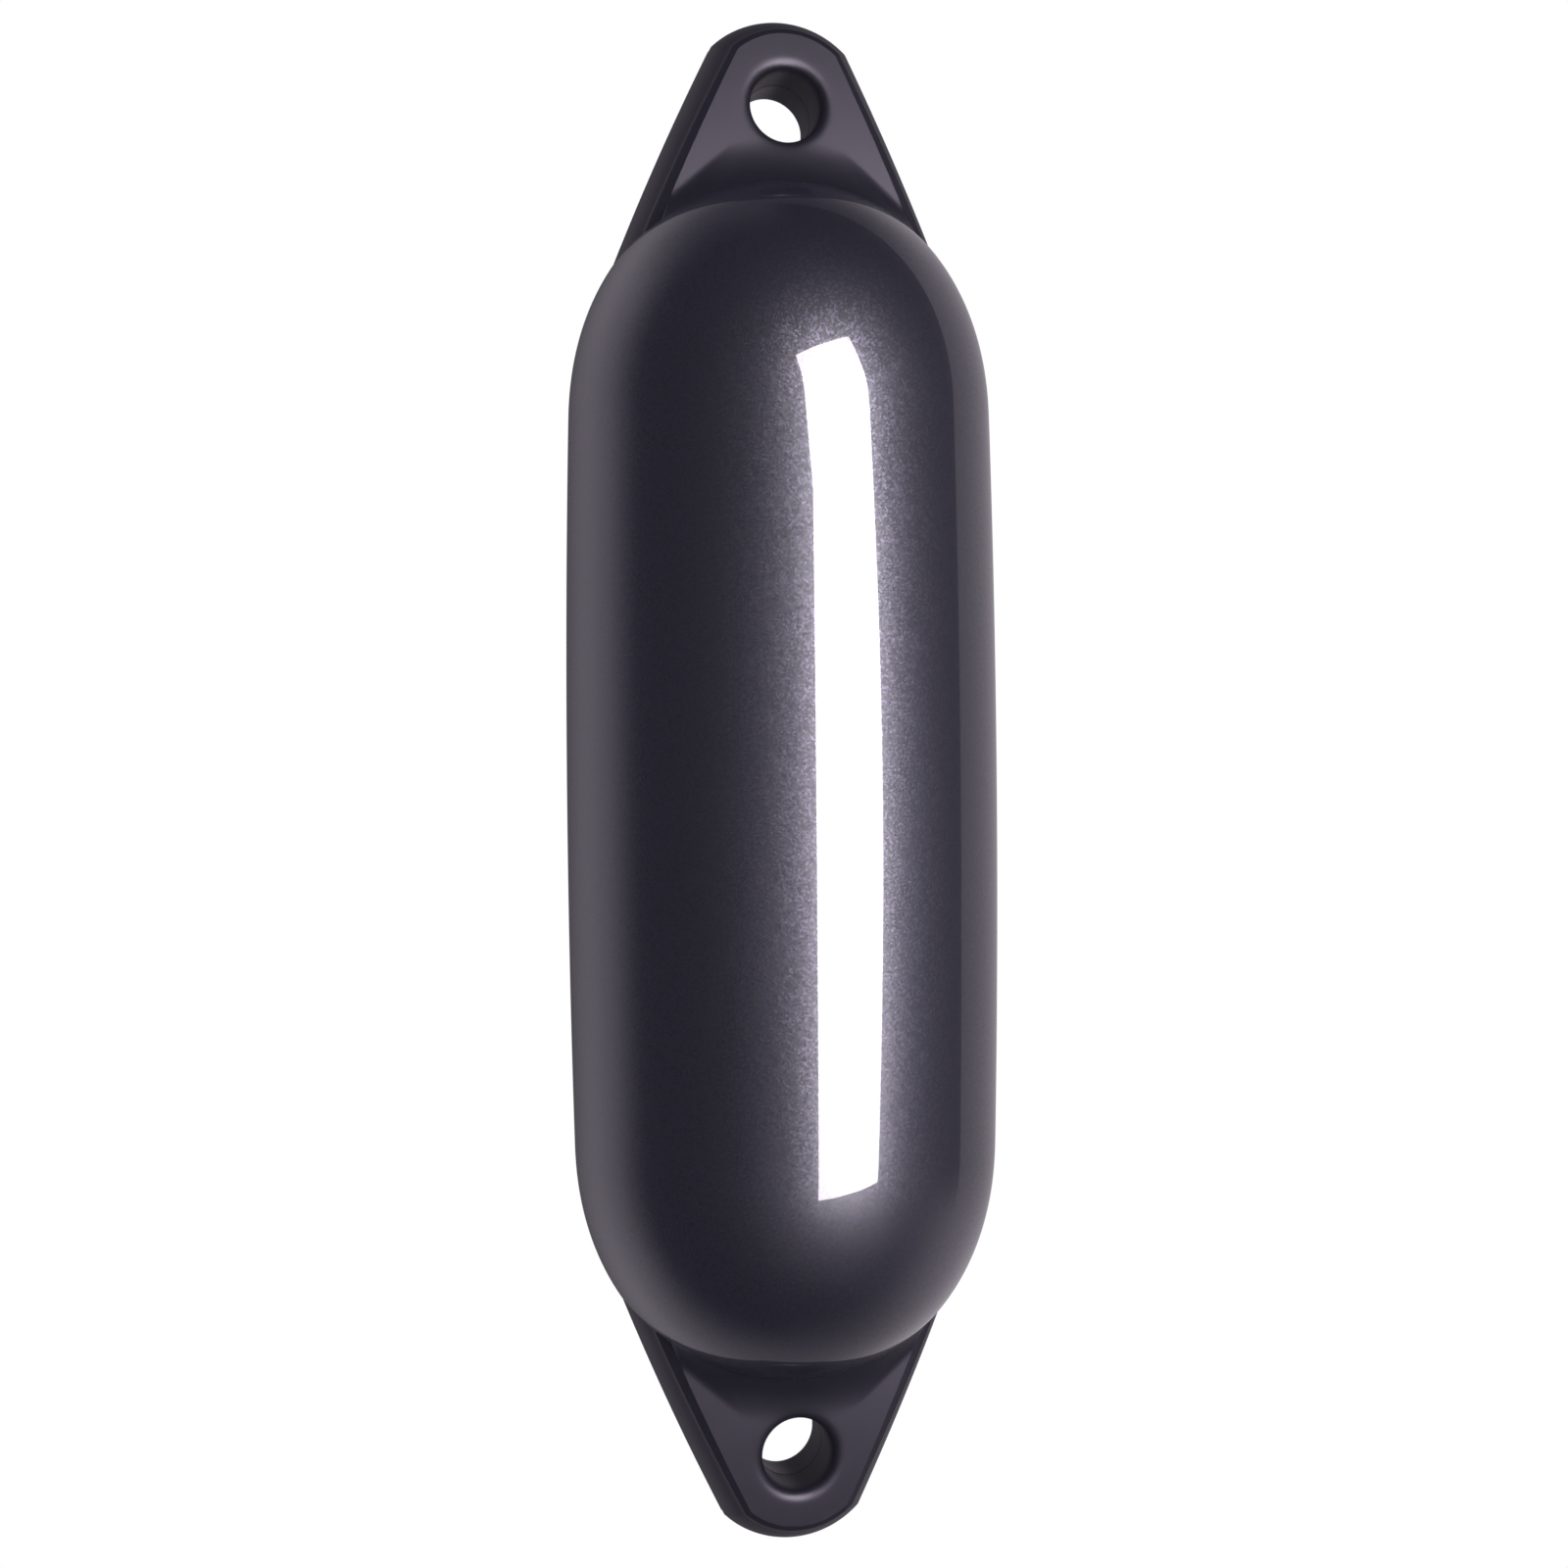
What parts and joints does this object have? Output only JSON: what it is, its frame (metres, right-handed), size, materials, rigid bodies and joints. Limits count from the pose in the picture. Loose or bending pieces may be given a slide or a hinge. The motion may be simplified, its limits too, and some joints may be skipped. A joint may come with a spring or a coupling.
{
  "type": "boat fender",
  "caption": "Air-filled vinyl boat fender: a barrel with domed ends and a tapered rope lug with a flared eye at each end, hung between hull and dock to take knocks and rubbing.",
  "frame": {"origin": "middle of the fender on its long axis, halfway between the lug tips", "axes": "+Z along the fender to the upper lug, X across the lugs, lug faces at -Y and +Y, valve on the +Y side of the lower dome"},
  "size_m": [0.15, 0.15, 0.5276],
  "materials": {
    "vinyl": "dark metal-flake vinyl, glossy on the barrel and domes, satin on the lugs",
    "valve_rubber": "soft matt black rubber"
  },
  "bodies": {
    "root": {"fender_body": "vinyl", "needle_valve": "valve_rubber"}
  },
  "joints": []
}
